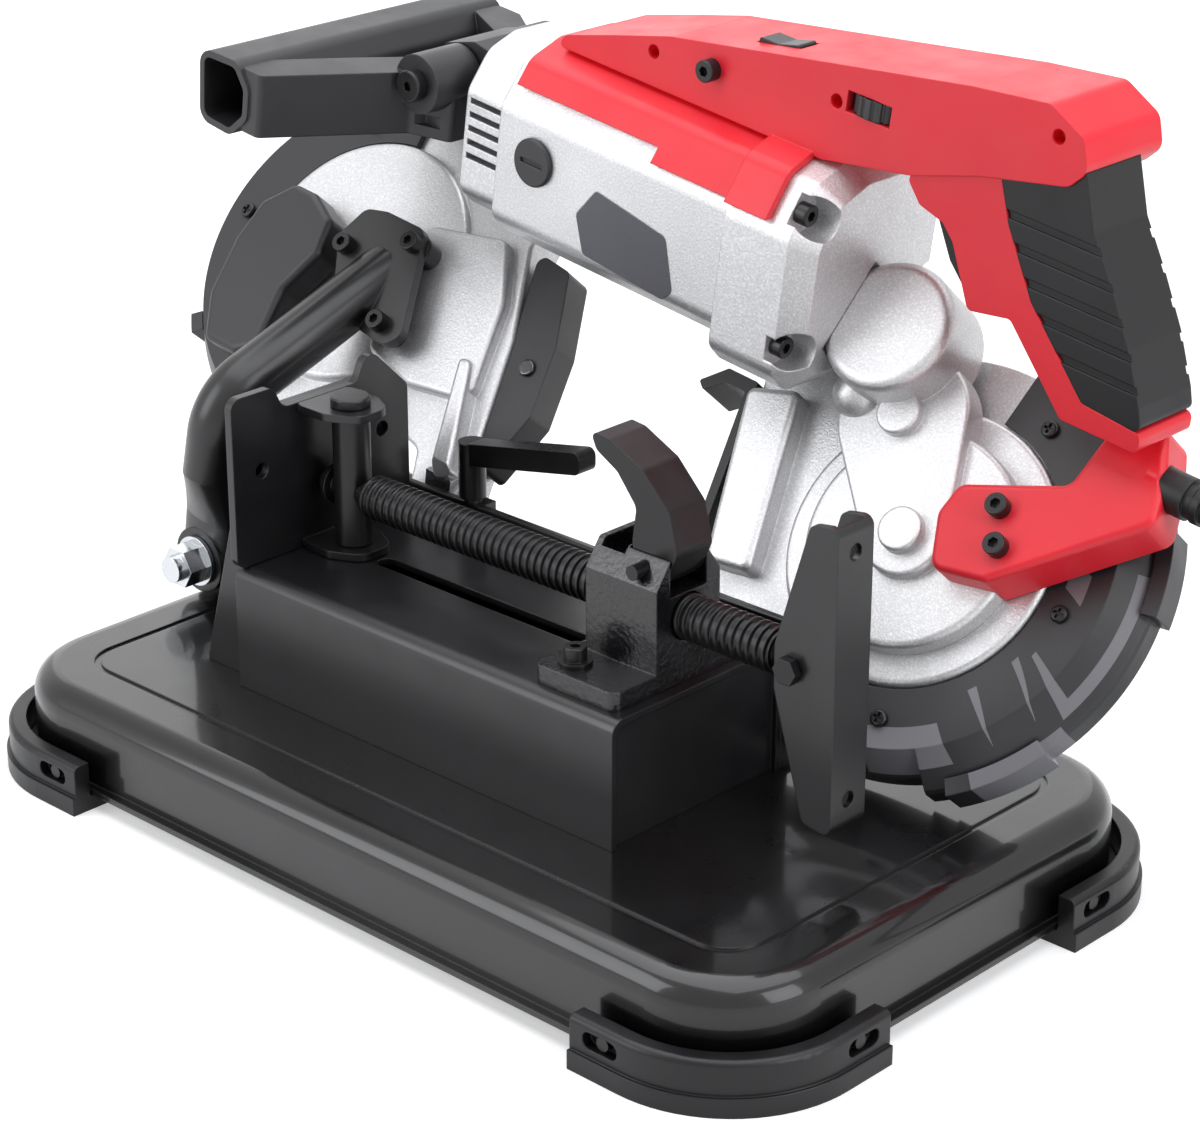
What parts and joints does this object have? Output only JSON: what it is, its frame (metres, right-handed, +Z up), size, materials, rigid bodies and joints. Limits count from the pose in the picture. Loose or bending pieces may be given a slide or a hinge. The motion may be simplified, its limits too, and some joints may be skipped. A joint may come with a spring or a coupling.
{
  "type": "portable band saw on bench stand",
  "caption": "Portable band saw with tilted blade wheels and pistol grip, swung on a low bench stand whose screw vise holds stock across the blade.",
  "frame": {"origin": "on the floor under the middle of the part's box, cord left out", "axes": "+X along the stand from the swing pivot to the trigger grip, +Y away from the operator, +Z up"},
  "size_m": [0.7362, 0.3573, 0.3206],
  "materials": {
    "stand_paint": "satin black powder coat",
    "bed_paint": "satin black paint",
    "zinc": "zinc plated",
    "dark_steel": "black oxide",
    "cast": "bare die casting",
    "black_plastic": "fine grained",
    "red_plastic": "satin",
    "rubber": "matt",
    "copper": "wound copper and iron",
    "gear_steel": "oiled",
    "blade_steel": "ground",
    "lens": "clear",
    "label": "bare plate"
  },
  "bodies": {
    "stand": {"base_pan": "stand_paint", "feet": "rubber", "stand_fixings": "zinc", "bed_channel": "bed_paint", "rear_rail": "stand_paint", "pivot_bracket": "bed_paint", "fixed_jaw": "stand_paint", "nut_block": "bed_paint", "cord_run": "rubber", "cord_coil": "rubber", "plug": "black_plastic", "cord_tie": "rubber"},
    "saw": {"swing_arm": "dark_steel", "saw_frame": "cast", "motor_housing": "cast", "end_bell": "cast", "gear_cap": "cast", "gear_case": "cast", "guard_left": "black_plastic", "guard_right": "black_plastic", "handle_shell": "red_plastic", "grip_rubber": "rubber", "handle_lug": "black_plastic", "front_handle_bolt": "zinc", "light_cover": "black_plastic", "light_lens": "lens", "brush_sets": "black_plastic", "nameplate": "label", "work_stop": "dark_steel", "blade_guides": "gear_steel", "bearings": "gear_steel", "stator": "copper", "socket_screws": "dark_steel", "cross_screws": "dark_steel", "cord_boot": "rubber", "blade": "blade_steel"},
    "armature": {"armature": "copper"},
    "second_shaft": {"second_shaft": "gear_steel"},
    "cross_shaft": {"cross_shaft": "gear_steel"},
    "idler_shaft": {"idler_shaft": "gear_steel"},
    "drive": {"drive_gear": "gear_steel", "drive_wheel": "cast", "drive_tyre": "rubber"},
    "idler_carrier": {"idler_slide": "gear_steel"},
    "idler": {"idler_wheel": "cast", "idler_tyre": "rubber"},
    "tension_lever": {"tension_lever": "black_plastic"},
    "trigger": {"trigger": "black_plastic"},
    "rocker": {"rocker": "black_plastic"},
    "speed_dial": {"speed_dial": "black_plastic"},
    "front_handle": {"front_handle": "rubber"},
    "vise_carriage": {"pivot_tube": "zinc"},
    "vise_screw": {"vise_screw": "zinc", "crank_handle": "stand_paint", "crank_pin": "zinc"},
    "movable_jaw": {"movable_jaw": "stand_paint"},
    "release_lever": {"release_lever": "dark_steel"},
    "half_nut": {"half_nut": "dark_steel"},
    "clamp_lever": {"clamp_lever": "dark_steel"}
  },
  "joints": [
    {"name": "saw_swing", "type": "hinge", "parent": "stand", "child": "saw", "pos_m": [-0.18623, -0.02562, 0.063], "axis": [0, -1, 0], "range_deg": [0, 45], "deforming": ["cord_run"]},
    {"name": "motor_spin", "type": "hinge", "parent": "saw", "child": "armature", "pos_m": [-0.01273, 0.10245, 0.24537], "axis": [0.9903, 0, -0.1392], "continuous": true},
    {"name": "second_spin", "type": "hinge", "parent": "saw", "child": "second_shaft", "pos_m": [0.07269, 0.10245, 0.20649], "axis": [0.9903, 0, -0.1392], "continuous": true},
    {"name": "cross_spin", "type": "hinge", "parent": "saw", "child": "cross_shaft", "pos_m": [0.10244, 0.10248, 0.20234], "axis": [0.0895, -0.766, 0.6365], "continuous": true},
    {"name": "idler_gear_spin", "type": "hinge", "parent": "saw", "child": "idler_shaft", "pos_m": [0.11476, 0.0943, 0.17193], "axis": [0.0895, -0.766, 0.6365], "continuous": true},
    {"name": "drive_wheel_spin", "type": "hinge", "parent": "saw", "child": "drive", "pos_m": [0.13675, 0.08332, 0.12342], "axis": [0.0895, -0.766, 0.6365], "continuous": true},
    {"name": "idler_slide", "type": "slide", "parent": "saw", "child": "idler_carrier", "axis": [0.9903, 0, -0.1392], "range_m": [0, 0.004]},
    {"name": "idler_wheel_spin", "type": "hinge", "parent": "idler_carrier", "child": "idler", "pos_m": [-0.19004, 0.08332, 0.16935], "axis": [0.0895, -0.766, 0.6365], "continuous": true},
    {"name": "tension_turn", "type": "hinge", "parent": "saw", "child": "tension_lever", "pos_m": [-0.2146, 0.06315, 0.18858], "axis": [-0.0895, 0.766, -0.6365], "range_deg": [0, 150]},
    {"name": "trigger_pull", "type": "hinge", "parent": "saw", "child": "trigger", "pos_m": [0.13854, 0.09645, 0.26552], "axis": [0, -1, 0], "range_deg": [0, 8], "stiffness_Nm_per_rad": 1.2, "springref_deg": -5.73},
    {"name": "light_switch", "type": "hinge", "parent": "saw", "child": "rocker", "pos_m": [0.04284, 0.09645, 0.31027], "axis": [0, 1, 0], "range_deg": [-8, 8]},
    {"name": "speed_turn", "type": "hinge", "parent": "saw", "child": "speed_dial", "pos_m": [0.10028, 0.09045, 0.3022], "axis": [0.1392, 0, 0.9903], "range_deg": [-140, 140]},
    {"name": "front_handle_tilt", "type": "hinge", "parent": "saw", "child": "front_handle", "pos_m": [-0.12778, 0.09945, 0.27467], "axis": [0, 1, 0], "range_deg": [0, 60]},
    {"name": "jaw_slide", "type": "slide", "parent": "stand", "child": "vise_carriage", "axis": [1, 0, 0], "range_m": [0, 0.11]},
    {"name": "vise_screw_turn", "type": "hinge", "parent": "vise_carriage", "child": "vise_screw", "pos_m": [-0.02823, -0.03162, 0.127], "axis": [1, 0, 0], "range_deg": [-1, 9910]},
    {"name": "jaw_swivel", "type": "hinge", "parent": "vise_carriage", "child": "movable_jaw", "pos_m": [-0.08023, -0.03162, 0.13], "axis": [0, 0, 1], "range_deg": [-3, 3]},
    {"name": "release_turn", "type": "hinge", "parent": "stand", "child": "release_lever", "pos_m": [0.09777, -0.03162, 0.1475], "axis": [0, 1, 0], "range_deg": [0, 40]},
    {"name": "half_nut_lift", "type": "slide", "parent": "stand", "child": "half_nut", "axis": [0, 0, 1], "range_m": [0, 0.003]},
    {"name": "clamp_turn", "type": "hinge", "parent": "stand", "child": "clamp_lever", "pos_m": [-0.06523, 0.02328, 0.125], "axis": [0, 0, -1], "range_deg": [0, 40]}
  ],
  "couplings": [
    {"joint": "second_spin", "follows": "motor_spin", "ratio": -0.325},
    {"joint": "cross_spin", "follows": "motor_spin", "ratio": -0.13295},
    {"joint": "idler_gear_spin", "follows": "motor_spin", "ratio": 0.053182},
    {"joint": "drive_wheel_spin", "follows": "motor_spin", "ratio": -0.011603},
    {"joint": "idler_wheel_spin", "follows": "motor_spin", "ratio": -0.011603},
    {"joint": "tension_turn", "follows": "idler_slide", "rad_per_m": 653.84},
    {"joint": "vise_screw_turn", "follows": "jaw_slide", "rad_per_m": 1570.8},
    {"joint": "half_nut_lift", "follows": "release_turn", "m_per_rad": 0.0042929}
  ]
}
